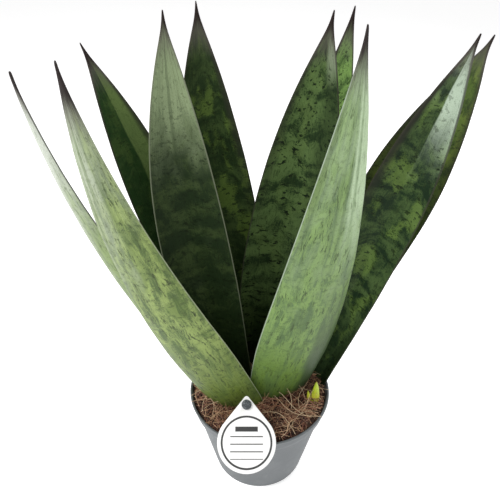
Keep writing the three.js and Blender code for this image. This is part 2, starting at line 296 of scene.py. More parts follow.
moulded_grey = Finish("moulded_grey_plastic", Specular_IOR_Level=0.5)
where = moulded_grey.place()
x_part = moulded_grey.node("ShaderNodeSeparateXYZ", sockets={"Vector": where})
height = x_part.partner("Z")
cloud = moulded_grey.mottle(where, 38.0, 3.0, 0.6)
dust = moulded_grey.mottle(where, 150.0, 4.0, 0.7)
grit = moulded_grey.mottle(where, 620.0, 2.0, 0.5)
colour = moulded_grey.tint(cloud.between(0.35, 0.7), (0.098, 0.109, 0.116, 1), (0.130, 0.141, 0.148, 1))
colour = moulded_grey.tint(dust.between(0.56, 0.8) * 0.35, colour, (0.28, 0.28, 0.27, 1))
crumbs = grit.between(0.69, 0.74) * height.between(0.03, 0.005)
crumbs = crumbs + grit.between(0.73, 0.77) * 0.6
colour = moulded_grey.tint(crumbs.between(0.1, 0.9), colour, (0.03, 0.022, 0.016, 1))
moulded_grey.wear(Base_Color=colour, Roughness=0.40 + 0.18 * cloud + 0.1 * dust)
moulded_grey.relief(moulded_grey.mottle(where, 900.0, 2.0) * 0.4 + cloud * 0.6, 0.00015)
moulded_grey.put_on(pot)
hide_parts("pot")
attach(pot, "root")

# ------------------------------------------------------------------ potting soil and rhizome
# Damp dark peat fills the pot, and shows only through the drain holes. The thick waxy rhizome that
# the leaves grow from is buried in it. Both keep the shapes that they have in the frame.

peat = Finish("damp_peat", Roughness=0.95)
where = peat.place()
lumps = peat.mottle(where, 260.0, 5.0, 0.7)
peat.wear(Base_Color=peat.tint(lumps.between(0.3, 0.72), (0.012, 0.008, 0.005, 1), (0.075, 0.045, 0.027, 1)))
peat.relief(lumps, 0.0012)
peat.put_on(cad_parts["potting_soil"])

rhizome_skin = Finish("rhizome_skin", Roughness=0.6)
where = rhizome_skin.place()
scars = rhizome_skin.mottle(where, 130.0, 4.0, 0.6)
rhizome_skin.wear(Base_Color=rhizome_skin.tint(
    scars.between(0.35, 0.7), (0.52, 0.27, 0.08, 1), (0.25, 0.12, 0.04, 1)))
rhizome_skin.relief(scars, 0.0008)
rhizome_skin.put_on(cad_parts["rhizome"])

# ------------------------------------------------------------------ leaves
# Ten stiff sword-shaped leaves in a loose rosette. Each is a thick cupped blade with a thin pale or brown
# margin and a hard dark needle at the tip. The outer sides of the front leaves face out and look pale and
# waxy, and the back leaves show their darker, cross-banded inner sides. The back leaves' tones are painted
# darker still, as painted shade inside the rosette, and the paler upper parts of the leaves are painted
# sheen.

SURFACE = 0.080
BURIED = 0.05
ROWS = 36
COLUMNS = 14
SPINE_START = 0.965
SPINE_HALF = 0.0013
TIP_HALF = 0.00035
FLAT_ARC = math.radians(76)
CUP_AT_FOOT = 80
CUP_AT_TIP = 50
MIDDLE_RISE = 0.52
RIPPLE_HEIGHT = 0.0012
LEAF_LENGTH_CM = 31.0
LEAF_ROUGHNESS = 0.42
DARK_MARGIN = (0.020, 0.022, 0.014, 1)
DRY_GREY = (0.095, 0.085, 0.075, 1)
NEEDLE_BROWN = (0.020, 0.013, 0.012, 1)
# The outlines that the blades share: width at the foot as a share of the widest, how far up the widest
# comes, and the taper, which keeps a blade broad for longer when it is larger.
STRAP = (0.85, 0.2, 1.5)
SWORD = (0.65, 0.35, 2.2)
SPEAR = (0.6, 0.55, 1.9)


def leaf_path(foot, tip, bow, t):
    """A point on the leaf's middle line and its direction there. t is 0 at the foot and 1 at the tip."""
    start = Vector((*foot, SURFACE))
    end = Vector(tip)
    outward = Vector((end.x - start.x, end.y - start.y, 0)).normalized()
    middle = (start + end) / 2 + outward * bow
    middle.z = start.z + (end.z - start.z) * MIDDLE_RISE
    pull = 2 * middle - 0.5 * start - 0.5 * end
    point = (1 - t) ** 2 * start + 2 * t * (1 - t) * pull + t ** 2 * end
    heading = (t - 1) * start + (1 - 2 * t) * pull + t * end
    return point, heading.normalized()


def leaf_half_width(t, width, outline):
    base, belly, taper = outline
    half = width / 2
    if t < 0:
        return half * base * (1 + 4 * t)
    if t < belly:
        return half * (base + (1 - base) * math.sin(math.pi / 2 * t / belly))
    past = min((t - belly) / (SPINE_START - belly), 1)
    spine = SPINE_HALF + (TIP_HALF - SPINE_HALF) * max(0, (t - SPINE_START) / (1 - SPINE_START))
    return (half - SPINE_HALF) * (1 - past ** taper) + spine


def select_by(mesh, test):
    shape = bmesh.from_edit_mesh(mesh)
    for corner in shape.verts:
        corner.select = test(corner)
    shape.select_flush_mode()
    bmesh.update_edit_mesh(mesh, loop_triangles=False, destructive=False)


def turn_selected(turns):
    """Turns what is selected about the origin, by angles about X, then Y, then Z."""
    for axis, angle in zip("XYZ", turns):
        bpy.ops.transform.rotate(value=-angle, orient_axis=axis, center_override=(0, 0, 0))


def grow_leaf(name, foot, tip, bow, width, faces, outline, twist=0, fold=0.0):
    """Shapes one leaf from a flat gridded blade. faces is the bearing its upper side looks towards, bow is
    how far its middle stands out past the line from foot to tip, and fold creases it along the middle."""
    bpy.ops.object.select_all(action="DESELECT")
    bpy.ops.mesh.primitive_grid_add(x_subdivisions=COLUMNS, y_subdivisions=ROWS, size=2)
    leaf = bpy.context.object
    leaf.name = name
    layout = {}
    for vertex in leaf.data.vertices:
        row = round((vertex.co.y + 1) / 2 * ROWS)
        column = round((vertex.co.x + 1) / 2 * COLUMNS)
        layout[vertex.index] = (row, column)

    thickness = leaf.vertex_groups.new(name="thickness")
    for index, (row, column) in layout.items():
        across = abs(2 * column / COLUMNS - 1)
        t = row / ROWS
        body = 1.0 - 0.55 * min(t / 0.5, 1) - 0.2 * max(0, t - 0.5)
        thickness.add([index], body * (1 - 0.82 * across ** 2.2) + 0.02, "REPLACE")

    bpy.ops.object.mode_set(mode="EDIT")
    bpy.ops.mesh.select_mode(type="VERT")
    # The flat blade is first bent across into a shallow channel, column by column.
    for column in range(COLUMNS + 1):
        across = 2 * column / COLUMNS - 1
        angle = across * FLAT_ARC / 2
        radius = 2 / FLAT_ARC
        crease = fold * (1 - abs(across)) ** 1.5
        select_by(leaf.data, lambda corner: layout[corner.index][1] == column)
        bpy.ops.transform.translate(
            value=(radius * math.sin(angle) - across, 0, radius * (1 - math.cos(angle)) - crease))
    # Then each row is scaled to its width, turned and carried to its place along the leaf.
    chord = math.sin(FLAT_ARC / 2) / (FLAT_ARC / 2)
    sag = (1 - math.cos(FLAT_ARC / 2)) / (FLAT_ARC / 2)
    for row in range(ROWS + 1):
        t = -BURIED + (1 + BURIED) * row / ROWS
        half = leaf_half_width(t, width, outline)
        bend = math.radians(CUP_AT_TIP + (CUP_AT_FOOT - CUP_AT_TIP) * (1 - max(t, 0)) ** 2) / 2
        point, along = leaf_path(foot, tip, bow, t)
        bearing = math.radians(faces)
        upper = Vector((math.cos(bearing), math.sin(bearing), 0))
        upper = (upper - upper.dot(along) * along).normalized()
        upper = Matrix.Rotation(math.radians(twist) * t, 3, along) @ upper
        right = along.cross(upper)
        turn = Matrix((right, along, upper)).transposed().to_euler("XYZ")
        wide = half * math.sin(bend) / bend / chord
        deep = half * (1 - math.cos(bend)) / bend / sag
        select_by(leaf.data, lambda corner: layout[corner.index][0] == row)
        bpy.ops.transform.translate(value=(0, 1 - 2 * row / ROWS, 0))
        bpy.ops.transform.resize(value=(wide, 1, deep), center_override=(0, 0, 0))
        turn_selected(turn)
        bpy.ops.transform.translate(value=point)
    bpy.ops.object.mode_set(mode="OBJECT")

    ripple = bpy.data.textures.new(name + "_ripple", "CLOUDS")
    ripple.noise_scale = 0.05
    apply_modifier(leaf, "SUBSURF", levels=1, render_levels=1)
    apply_modifier(leaf, "DISPLACE", texture=ripple, strength=RIPPLE_HEIGHT, mid_level=0.5)
    apply_modifier(leaf, "SOLIDIFY", thickness=0.0044, offset=0, vertex_group="thickness",
                   thickness_vertex_group=0.1)
    apply_modifier(leaf, "SUBSURF", levels=1, render_levels=1)
    bpy.ops.object.shade_smooth()
    return leaf


def darker(tone, share):
    return tuple(share * part for part in tone[:3]) + (1,)


def leaf_skin(name, width, deep, light, foot_tone, sheen_tone, seed, hand=1.0, bands=0.5, streaks=0.5,
              dashes=0.5, sheen_from=0.45, sheen_most=0.8, fold_at=0.0, soft=0.5, side=0.0,
              side_from=(0.1, 0.6), right_shade=0.0, foot_shade=0.0, shine=0.09, run=(0.35, 0.9),
              accent=(0.16, 0.24, 0.03, 1), accent_most=0.0, grooves=0.0, tip_from=0.93, rim=(0.0, 0.0),
              edge_tone=(0.03, 0.03, 0.02, 1)):
    """Waxy mottled leaf skin that follows the blade: deep is the ground tone, and light the soft bands on it,
    which a larger bands makes rarer. bloom is a painted sheen, reflected light painted pale towards the tip.
    hand is -1 for a blade that shows its back to the front. side changes how much painted sheen lies right of
    fold_at, as painted light on the half that faces the lamps, and dim darkens that side as painted shade."""
    skin = Finish(name, Specular_IOR_Level=shine)
    u, v = skin.across_and_along()
    across = (u * 2.0 - 1.0) * hand
    # x and y are in centimetres.
    x = across * (width / 2 * 100)
    y = v * LEAF_LENGTH_CM
    dark = darker(deep, 0.35)
    drift = skin.mottle(skin.point(x * 0.45, y * 0.3, seed), 1.0, 2.0) - 0.5
    cross = skin.mottle(skin.point(x * run[0] + drift, y * run[1] + drift * 2.5, seed + 7.0), 1.0, 3.0, 0.6)
    streak = skin.mottle(skin.point(x * 4.0 + drift * 5.0, y * 1.0, seed + 11.0), 1.0, 3.0, 0.7)
    grain = skin.mottle(skin.point(x * 12.0, y * 10.0, seed + 17.0), 1.0, 2.0, 0.7)
    cloud = skin.mottle(skin.point(x * 0.6, y * 0.4 + drift, seed + 29.0), 1.0, 2.0)
    dash = skin.mottle(skin.point(x * 1.6, y * 3.2 + drift * 4.0, seed + 37.0), 1.0, 3.0, 0.7)
    veins = skin.mottle(skin.point(x * 8.0, y * 0.1, seed + 23.0), 1.0, 2.0)
    groove = skin.mottle(skin.point(x * 1.5, y * 0.035, seed + 41.0), 1.0, 2.0)
    lit = (cross + (grain - 0.5) * 0.45 + (streak - 0.5) * 0.5).between(bands - 0.12, bands + 0.12)
    colour = skin.tint(lit, deep, light)
    lively = (cloud + (grain - 0.5) * 0.2 + (dash - 0.5) * 0.25).between(0.50, 0.62)
    colour = skin.tint(lively * accent_most, colour, accent)
    right = (across + drift * 0.25 - fold_at).between(-soft, soft)
    # Painted sheen: pale reflected light painted into the colour, growing towards the tip, patchy, and moved
    # to one side of the fold where that half faces the lamps.
    painted_sheen = v.between(sheen_from, 0.98) * sheen_most + (cloud - 0.5) * 0.6
    painted_sheen = painted_sheen + (right - 0.5) * side * v.between(*side_from)
    painted_sheen = painted_sheen.between(0.02, 0.98) * (grain * 1.4 + 0.3)
    colour = skin.tint(painted_sheen, colour, sheen_tone)
    # Towards the foot the blade takes foot_tone: on the front leaves their own yellower base, on the back
    # leaves a darker tone that is painted shade low in the rosette.
    low = v.between(0.36, 0.12) * (0.35 + 0.65 * lit)
    colour = skin.tint(low, colour, foot_tone)
    bare = 1.0 - 0.55 * painted_sheen
    mark = streak.between(0.52, 0.64) * cloud.between(0.66, 0.42) * streaks
    mark = mark + dash.between(0.53, 0.61) * cloud.between(0.38, 0.54) * dashes
    colour = skin.tint(mark * bare, colour, dark)
    colour = skin.tint(grain.between(0.56, 0.70) * bare * 0.45, colour, dark)
    # Painted shade in the grooves: the groove lines over the upper half of the blade are darkened to the
    # ground tone.
    groove_shade = groove.between(0.50, 0.68) * v.between(0.4, 0.7) * grooves * (0.4 + streak)
    colour = skin.tint(groove_shade, colour, deep)
    colour = skin.tint(veins.between(0.5, 0.8) * 0.15, colour, light)
    # Painted shade: the half right of the fold is darkened along the blade below the tip, and again low down
    # towards the foot, where it turns from the light.
    shade = right * v.between(0.92, 0.82) * right_shade + right * v.between(0.5, 0.15) * foot_shade
    colour = skin.tint(shade, colour, darker(deep, 0.55))
    margin = across.between(-0.62, -0.88) * rim[0] + across.between(0.62, 0.88) * rim[1]
    colour = skin.tint(margin * v.between(0.4, 0.8), colour, DARK_MARGIN)
    edge = (1.0 - across.size()) * (1.0 - v ** 2.0) * (width * 500)
    colour = skin.tint(edge.between(0.9, 0.35) * 0.8, colour, edge_tone)
    reach = v + (streak - 0.5) * 0.08 + across.size() * 0.015
    colour = skin.tint(reach.between(tip_from - 0.06, tip_from + 0.03) * 0.7, colour, DRY_GREY)
    colour = skin.tint(reach.between(tip_from, tip_from + 0.05), colour, NEEDLE_BROWN)
    skin.wear(Base_Color=colour, Roughness=LEAF_ROUGHNESS + 0.14 * painted_sheen + 0.14 * streak)
    skin.relief(veins * 0.4 + streak * 0.3 + grain * 0.15 + groove * grooves, 0.0005)
    return skin


for name, settings, tones in [
    ("far_left",
     dict(foot=(-0.038, -0.001), tip=(-0.150, -0.005, 0.360), bow=0.020, width=0.045,
          faces=50, outline=STRAP, twist=-10),
     dict(deep=(0.08, 0.13, 0.035, 1), light=(0.20, 0.28, 0.09, 1), foot_tone=(0.20, 0.27, 0.06, 1),
          sheen_tone=(0.50, 0.53, 0.47, 1), seed=1.0, hand=-1.0, run=(1.5, 0.45), bands=0.44, streaks=0.7,
          dashes=0.4, sheen_from=0.32, sheen_most=1.1, side=-0.3, shine=0.3,
          edge_tone=(0.05, 0.05, 0.04, 1))),
    ("front_left",
     dict(foot=(-0.018, -0.021), tip=(-0.105, -0.055, 0.380), bow=0.018, width=0.055,
          faces=80, outline=STRAP, twist=-10, fold=-0.05),
     dict(deep=(0.07, 0.115, 0.03, 1), light=(0.25, 0.33, 0.095, 1), foot_tone=(0.11, 0.16, 0.025, 1),
          sheen_tone=(0.38, 0.43, 0.32, 1), seed=5.0, hand=-1.0, accent=(0.06, 0.11, 0.015, 1),
          accent_most=0.5, run=(1.3, 0.4), bands=0.47, streaks=0.95, dashes=0.5, sheen_from=0.38,
          sheen_most=0.8, side=-0.35, soft=0.2, shine=0.25, grooves=0.6, tip_from=0.90,
          edge_tone=(0.30, 0.34, 0.22, 1))),
    ("back_left",
     dict(foot=(-0.037, 0.023), tip=(-0.125, 0.060, 0.360), bow=-0.008, width=0.040,
          faces=300, outline=SPEAR, fold=0.16),
     dict(deep=(0.014, 0.040, 0.009, 1), light=(0.030, 0.062, 0.016, 1), foot_tone=(0.010, 0.022, 0.007, 1),
          sheen_tone=(0.10, 0.15, 0.045, 1), seed=9.0, bands=0.56, streaks=0.4, dashes=0.5, sheen_from=0.35,
          sheen_most=0.45, side=0.9, soft=0.08, fold_at=0.05, accent=(0.08, 0.13, 0.03, 1), accent_most=0.3,
          rim=(0.0, 0.8))),
    ("centre_left",
     dict(foot=(-0.022, 0.012), tip=(-0.060, 0.015, 0.390), bow=0.010, width=0.055,
          faces=270, outline=SWORD, fold=0.05),
     dict(deep=(0.012, 0.024, 0.008, 1), light=(0.036, 0.058, 0.018, 1), foot_tone=(0.010, 0.020, 0.006, 1),
          sheen_tone=(0.23, 0.29, 0.16, 1), seed=13.0, bands=0.54, streaks=0.5, dashes=0.6, sheen_from=0.56,
          sheen_most=1.2, grooves=0.4, tip_from=0.945, edge_tone=(0.16, 0.18, 0.12, 1))),
    ("back_centre_left",
     dict(foot=(-0.003, 0.042), tip=(-0.045, 0.070, 0.385), bow=0.010, width=0.060,
          faces=270, outline=SWORD),
     dict(deep=(0.010, 0.022, 0.006, 1), light=(0.034, 0.058, 0.016, 1), foot_tone=(0.008, 0.016, 0.005, 1),
          sheen_tone=(0.045, 0.07, 0.025, 1), seed=17.0, bands=0.53, streaks=0.5, dashes=0.8, sheen_from=0.7,
          sheen_most=0.5, accent=(0.085, 0.135, 0.025, 1), accent_most=0.6, rim=(0.0, 0.8))),
    ("centre",
     dict(foot=(0.003, 0.025), tip=(0.045, 0.040, 0.385), bow=0.0, width=0.065,
          faces=260, outline=SWORD, fold=0.06),
     dict(deep=(0.012, 0.028, 0.008, 1), light=(0.088, 0.145, 0.045, 1), foot_tone=(0.010, 0.020, 0.006, 1),
          sheen_tone=(0.22, 0.28, 0.17, 1), seed=21.0, bands=0.46, streaks=0.5, dashes=1.0, sheen_from=0.82,
          sheen_most=1.0, fold_at=0.3, soft=0.25, side=1.2, side_from=(0.8, 0.93), right_shade=0.65,
          accent=(0.10, 0.16, 0.045, 1), accent_most=0.6, rim=(0.6, 0.0))),
    ("back_centre",
     dict(foot=(0.020, 0.047), tip=(0.065, 0.080, 0.380), bow=0.0, width=0.045,
          faces=260, outline=SWORD),
     dict(deep=(0.035, 0.075, 0.02, 1), light=(0.18, 0.31, 0.08, 1), foot_tone=(0.02, 0.04, 0.01, 1),
          sheen_tone=(0.17, 0.27, 0.10, 1), seed=25.0, bands=0.44, streaks=0.6, dashes=1.0, sheen_from=0.6,
          sheen_most=0.4, tip_from=0.925, rim=(1.0, 0.0))),
    ("front_right",
     dict(foot=(0.019, -0.009), tip=(0.050, -0.045, 0.395), bow=0.012, width=0.070,
          faces=110, outline=STRAP, fold=-0.05),
     dict(deep=(0.075, 0.135, 0.045, 1), light=(0.18, 0.29, 0.08, 1), foot_tone=(0.11, 0.19, 0.03, 1),
          sheen_tone=(0.46, 0.59, 0.38, 1), seed=29.0, hand=-1.0, accent=(0.075, 0.14, 0.025, 1),
          accent_most=0.4, run=(1.4, 0.35), bands=0.46, streaks=0.85, dashes=0.3, sheen_from=0.22,
          sheen_most=0.8, fold_at=0.28, soft=0.12, side=0.55, side_from=(0.42, 0.75), shine=0.25,
          foot_shade=1.0, grooves=0.5, tip_from=0.925, rim=(0.35, 0.0), edge_tone=(0.30, 0.36, 0.28, 1))),
    ("right",
     dict(foot=(0.046, 0.013), tip=(0.125, 0.0, 0.380), bow=0.0, width=0.045,
          faces=240, outline=SPEAR, fold=0.28),
     dict(deep=(0.008, 0.020, 0.008, 1), light=(0.050, 0.085, 0.027, 1), foot_tone=(0.012, 0.024, 0.008, 1),
          sheen_tone=(0.36, 0.44, 0.34, 1), seed=33.0, bands=0.50, streaks=0.5, dashes=0.8, sheen_from=0.68,
          sheen_most=0.75, fold_at=-0.05, soft=0.06, side=0.9, side_from=(0.60, 0.95), tip_from=0.955,
          accent=(0.11, 0.18, 0.035, 1), accent_most=0.55, rim=(1.0, 0.0))),
    ("back_right",
     dict(foot=(0.041, 0.031), tip=(0.150, 0.040, 0.370), bow=0.0, width=0.060,
          faces=230, outline=SPEAR),
     dict(deep=(0.022, 0.040, 0.010, 1), light=(0.065, 0.105, 0.020, 1), foot_tone=(0.02, 0.04, 0.01, 1),
          sheen_tone=(0.085, 0.13, 0.03, 1), seed=37.0, bands=0.46, streaks=0.5, dashes=0.6, sheen_from=0.8,
          sheen_most=0.3, accent=(0.14, 0.19, 0.03, 1), accent_most=0.5, tip_from=0.955, rim=(0.8, 0.5))),
]:
    leaf = grow_leaf("snake_leaf_" + name, **settings)
    leaf_skin("leaf_skin_" + name, settings["width"], **tones).put_on(leaf)
    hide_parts("leaf_" + name)
    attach(leaf, "root")

# ------------------------------------------------------------------ new shoot
# A young pup just out of the coir: two rolled leaf points, one inside the other, still bright yellow.

SHOOT_AT = (0.047, -0.013, 0)
SHOOT_BASE = (0, 0, 0.066)

shoot = ring_piece("young_shoot", [
    (0.0020, 0.0660), (0.0030, 0.0670), (0.0034, 0.0740), (0.0037, 0.0820), (0.0036, 0.0880),
    (0.0030, 0.0940), (0.0021, 0.0990), (0.0011, 0.1030), (0.0003, 0.1055),
], 24)
bpy.ops.object.select_all(action="DESELECT")
shoot.select_set(True)
bpy.ops.object.duplicate()
bpy.ops.object.mode_set(mode="EDIT")
bpy.ops.mesh.select_all(action="SELECT")
bpy.ops.transform.resize(value=(0.62, 0.62, 0.72), center_override=SHOOT_BASE)
bpy.ops.transform.rotate(value=math.radians(8), orient_axis="Y", center_override=SHOOT_BASE)
bpy.ops.transform.translate(value=(-0.0026, -0.0008, 0.001))
bpy.ops.object.mode_set(mode="OBJECT")
shoot.select_set(True)
bpy.context.view_layer.objects.active = shoot
bpy.ops.object.join()
bpy.ops.object.mode_set(mode="EDIT")
bpy.ops.mesh.select_all(action="SELECT")
bpy.ops.transform.resize(value=(1, 0.8, 1), center_override=(0, 0, 0.08))
bpy.ops.transform.translate(value=SHOOT_AT)
bpy.ops.object.mode_set(mode="OBJECT")
apply_modifier(shoot, "SUBSURF", levels=1, render_levels=1)
bpy.ops.object.shade_smooth()

shoot_skin = Finish("shoot_skin", Specular_IOR_Level=0.5)
where = shoot_skin.place()
parts = shoot_skin.node("ShaderNodeSeparateXYZ", sockets={"Vector": where})
height = parts.partner("Z")
ribs = shoot_skin.mottle(shoot_skin.point(parts * 900.0, 0.0, height * 60.0), 1.0, 2.0)
colour = shoot_skin.tint(height.between(0.086, 0.1), (0.62, 0.62, 0.05, 1), (0.44, 0.56, 0.03, 1))
colour = shoot_skin.tint(ribs.between(0.45, 0.7) * 0.5, colour, (0.28, 0.42, 0.02, 1))
colour = shoot_skin.tint(height.between(0.1035, 0.1055), colour, (0.30, 0.20, 0.03, 1))
shoot_skin.wear(Base_Color=colour, Roughness=0.35 + 0.2 * ribs)
shoot_skin.relief(ribs, 0.0003)
shoot_skin.put_on(shoot)
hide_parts("new_shoot")
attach(shoot, "root")

# ------------------------------------------------------------------ coir top dressing
# Shredded coconut husk over the soil: a loose lumpy bed, thousands of short curly fibres lying on it
# every way, and long pale wisps that arch over them. It lies a little below the rim.

BED_RADIUS = 0.0572
RIM_TOP = 0.0857
OVER_RIM = 0.0625
FIBRE_FLOOR = 0.076
CARD_MIDDLE = -0.011
CARD_ROOM = 0.026
CARD_BACK = -0.036

bed = ring_piece("coir_bed", [
    (0.0560, 0.0736), (0.0572, 0.0742), (0.0578, 0.0790), (0.0566, 0.0805), (0.0540, 0.0812),
    (0.0480, 0.0818), (0.0420, 0.0822), (0.0350, 0.0825), (0.0280, 0.0827), (0.0210, 0.0828),
    (0.0140, 0.0829), (0.0070, 0.0830), (0.0010, 0.0830),
], 96)
heap = bpy.data.textures.new("coir_heap", "CLOUDS")
heap.noise_scale = 0.012
heap.noise_depth = 3
apply_modifier(bed, "SUBSURF", levels=1, render_levels=1)
apply_modifier(bed, "DISPLACE", texture=heap, strength=0.0042, mid_level=0.6)
bpy.ops.object.shade_smooth()

coir_bed = Finish("coir_bed_fibre", Roughness=0.9)
where = coir_bed.place()
matted = coir_bed.mottle(where, 420.0, 5.0, 0.7, 1.5)
tufts = coir_bed.mottle(where, 90.0, 3.0, 0.6)
colour = coir_bed.tint(matted.between(0.35, 0.65), (0.018, 0.009, 0.006, 1), (0.11, 0.047, 0.027, 1))
colour = coir_bed.tint(tufts.between(0.5, 0.75) * 0.6, colour, (0.16, 0.085, 0.05, 1))
coir_bed.wear(Base_Color=colour)
coir_bed.relief(matted, 0.0015)
coir_bed.put_on(bed)
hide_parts("coir_top_dressing")
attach(bed, "root")


def curl_fibre(length, thick, arch, sway, bends, sides):
    """One strand lying along X: a thin rod, arched up in the middle and swayed to one side."""
    bpy.ops.object.select_all(action="DESELECT")
    bpy.ops.mesh.primitive_cylinder_add(
        vertices=sides, radius=thick, depth=length, rotation=(0, math.pi / 2, 0))
    strand = bpy.context.object
    bpy.ops.object.transform_apply(location=True, rotation=True, scale=True)
    bpy.ops.object.mode_set(mode="EDIT")
    for cut in range(1, bends):
        bpy.ops.mesh.select_all(action="SELECT")
        bpy.ops.mesh.bisect(plane_co=(length * (cut / bends - 0.5), 0, 0), plane_no=(1, 0, 0))
    for step in range(bends + 1):
        x = length * (step / bends - 0.5)
        rise = arch * math.cos(math.pi * x / length)
        drift = sway * math.sin(2 * math.pi * x / length + sway * 900)
        select_by(strand.data, lambda corner: abs(corner.co.x - x) < length / bends / 3)
        bpy.ops.transform.translate(value=(0, drift, rise))
    bpy.ops.object.mode_set(mode="OBJECT")
    return strand


def scatter(strands, name, count, spread, low, high, tilt, chance):
    """Copies strands over the bed, each copy turned and placed at random, and joins them."""
    chosen = []
    for _ in range(count):
        source = chance.choice(strands)
        copy = source.copy()
        copy.data = source.data.copy()
        reach = spread * math.sqrt(chance.random())
        bearing = chance.uniform(0, 2 * math.pi)
        copy.location = (reach * math.cos(bearing), reach * math.sin(bearing), chance.uniform(low, high))
        copy.rotation_euler = (
            chance.uniform(-tilt, tilt) * 2, chance.uniform(-tilt, tilt), chance.uniform(0, 7))
        copy.scale = (chance.uniform(0.6, 1.25),) * 3
        tone = copy.data.color_attributes.new("tone", "FLOAT_COLOR", "POINT")
        shade = (chance.random(), chance.random(), 0, 1)
        tone.data.foreach_set("color", shade * len(copy.data.vertices))
        bpy.context.collection.objects.link(copy)
        chosen.append(copy)
    bpy.ops.object.select_all(action="DESELECT")
    for copy in chosen:
        copy.select_set(True)
    bpy.context.view_layer.objects.active = chosen[0]
    bpy.ops.object.join()
    tangle = bpy.context.object
    tangle.name = name
    bpy.ops.object.transform_apply(location=True, rotation=True, scale=True)
    return tangle


chance = random.Random(7)
short_strands = [
    curl_fibre(0.017, 0.00028, 0.0012, 0.0012, 6, 4),
    curl_fibre(0.024, 0.00022, 0.0022, -0.0020, 7, 4),
    curl_fibre(0.011, 0.00034, 0.0006, 0.0006, 4, 4),
    curl_fibre(0.030, 0.00020, 0.0034, 0.0028, 8, 4),
    curl_fibre(0.014, 0.00024, 0.0026, -0.0014, 6, 4),
]
tangle = scatter(short_strands, "coir_fibres", 2600, 0.054, 0.0805, 0.0855, 0.28, chance)

coir_strand = Finish("coir_strand", Roughness=0.7)
tone = coir_strand.node("ShaderNodeVertexColor", {"layer_name": "tone"})
split = coir_strand.node("ShaderNodeSeparateColor", sockets={"Color": tone})
other = split.partner("Green")
fleck = coir_strand.mottle(coir_strand.place(), 500.0, 2.0)
colour = coir_strand.tint(split.between(0.28, 0.6), (0.030, 0.012, 0.008, 1), (0.28, 0.120, 0.068, 1))
colour = coir_strand.tint(split.between(0.66, 0.86) * 0.95, colour, (0.58, 0.38, 0.22, 1))
colour = coir_strand.tint(other.between(0.5, 1.0) * 0.4, colour, (0.34, 0.13, 0.08, 1))
colour = coir_strand.tint(fleck.between(0.5, 0.8) * 0.4, colour, (0.06, 0.03, 0.02, 1))
coir_strand.wear(Base_Color=colour)
coir_strand.put_on(tangle)
bpy.ops.object.mode_set(mode="EDIT")
select_by(
    tangle.data,
    lambda corner: math.hypot(corner.co.x, corner.co.y) > BED_RADIUS or corner.co.z < FIBRE_FLOOR,
)
bpy.ops.mesh.delete(type="VERT")
bpy.ops.object.mode_set(mode="OBJECT")
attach(tangle, "root")
for strand in short_strands:
    bpy.data.objects.remove(strand)


def stray(corner):
    """Whether a corner of a wisp is outside the pot, under the bed or over the label."""
    reach = BED_RADIUS if corner.co.z < RIM_TOP else OVER_RIM
    over_label = abs(corner.co.x - CARD_MIDDLE) < CARD_ROOM and corner.co.y < CARD_BACK
    return corner.co.xy.length > reach or corner.co.z < FIBRE_FLOOR or over_label


long_strands = [
    curl_fibre(0.048, 0.00017, 0.0070, 0.0040, 12, 5),
    curl_fibre(0.036, 0.00015, 0.0095, -0.0030, 12, 5),
    curl_fibre(0.060, 0.00016, 0.0050, 0.0065, 14, 5),
]
wisps = scatter(long_strands, "coir_wisps", 130, 0.050, 0.0830, 0.0880, 0.2, chance)
bpy.ops.object.mode_set(mode="EDIT")
select_by(wisps.data, stray)
bpy.ops.mesh.delete(type="VERT")
bpy.ops.object.mode_set(mode="OBJECT")
pale_wisp = Finish("pale_wisp", Roughness=0.6)
tone = pale_wisp.node("ShaderNodeVertexColor", {"layer_name": "tone"})
split = pale_wisp.node("ShaderNodeSeparateColor", sockets={"Color": tone})
colour = pale_wisp.tint(split.between(0.1, 0.9), (0.30, 0.16, 0.08, 1), (0.62, 0.48, 0.30, 1))
pale_wisp.wear(Base_Color=colour)
pale_wisp.put_on(wisps)
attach(wisps, "root")
for strand in long_strands:
    bpy.data.objects.remove(strand)

# ------------------------------------------------------------------ label
# A stiff white plastic card, die-cut as a drop with a small hole near its point. It leans over the rim,
# held by the peg. Its face is left blank for writing, with a printed border, a heading bar and ruled lines.

LABEL_RADIUS = 0.023
LABEL_POINT = 0.035
HOLE_REACH = 0.0285
LABEL_SLOPE = math.radians(42)
LABEL_CENTRE = (-0.011, -0.0585, 0.0866)
POINT_ROUND = 0.002
LABEL_THICK = 0.0008
POINT_STEPS = 12
HOLE_RADIUS = 0.0024
BORDER_RADIUS = 0.0194
RULE_SPACING = 0.0056

lean = math.asin((LABEL_RADIUS - POINT_ROUND) / LABEL_POINT)
bpy.ops.object.select_all(action="DESELECT")
bpy.ops.mesh.primitive_circle_add(vertices=160, radius=LABEL_RADIUS, fill_type="NOTHING")
label = bpy.context.object
label.name = "plant_label"
bpy.ops.object.mode_set(mode="EDIT")
bpy.ops.mesh.select_mode(type="VERT")
edge_of_drop = LABEL_RADIUS * math.sin(lean)
select_by(label.data, lambda corner: corner.co.y > edge_of_drop)
bpy.ops.mesh.delete(type="VERT")
select_by(label.data, lambda corner: corner.co.y > edge_of_drop - 0.0009 and corner.co.x > 0)
shoulder = [c.co.copy() for c in bmesh.from_edit_mesh(label.data).verts if c.select][-1]
select_by(label.data, lambda corner: (corner.co - shoulder).length < 1e-6)
for step in range(POINT_STEPS + 1):
    angle = lean + (math.pi - 2 * lean) * step / POINT_STEPS
    rise = LABEL_POINT - POINT_ROUND + POINT_ROUND * math.sin(angle)
    target = Vector((POINT_ROUND * math.cos(angle), rise, 0))
    bpy.ops.mesh.extrude_region_move(TRANSFORM_OT_translate={"value": target - shoulder})
    shoulder = target
bpy.ops.mesh.select_all(action="SELECT")
bpy.ops.mesh.edge_face_add()
bpy.ops.mesh.extrude_region_move(TRANSFORM_OT_translate={"value": (0, 0, LABEL_THICK)})
bpy.ops.mesh.select_all(action="SELECT")
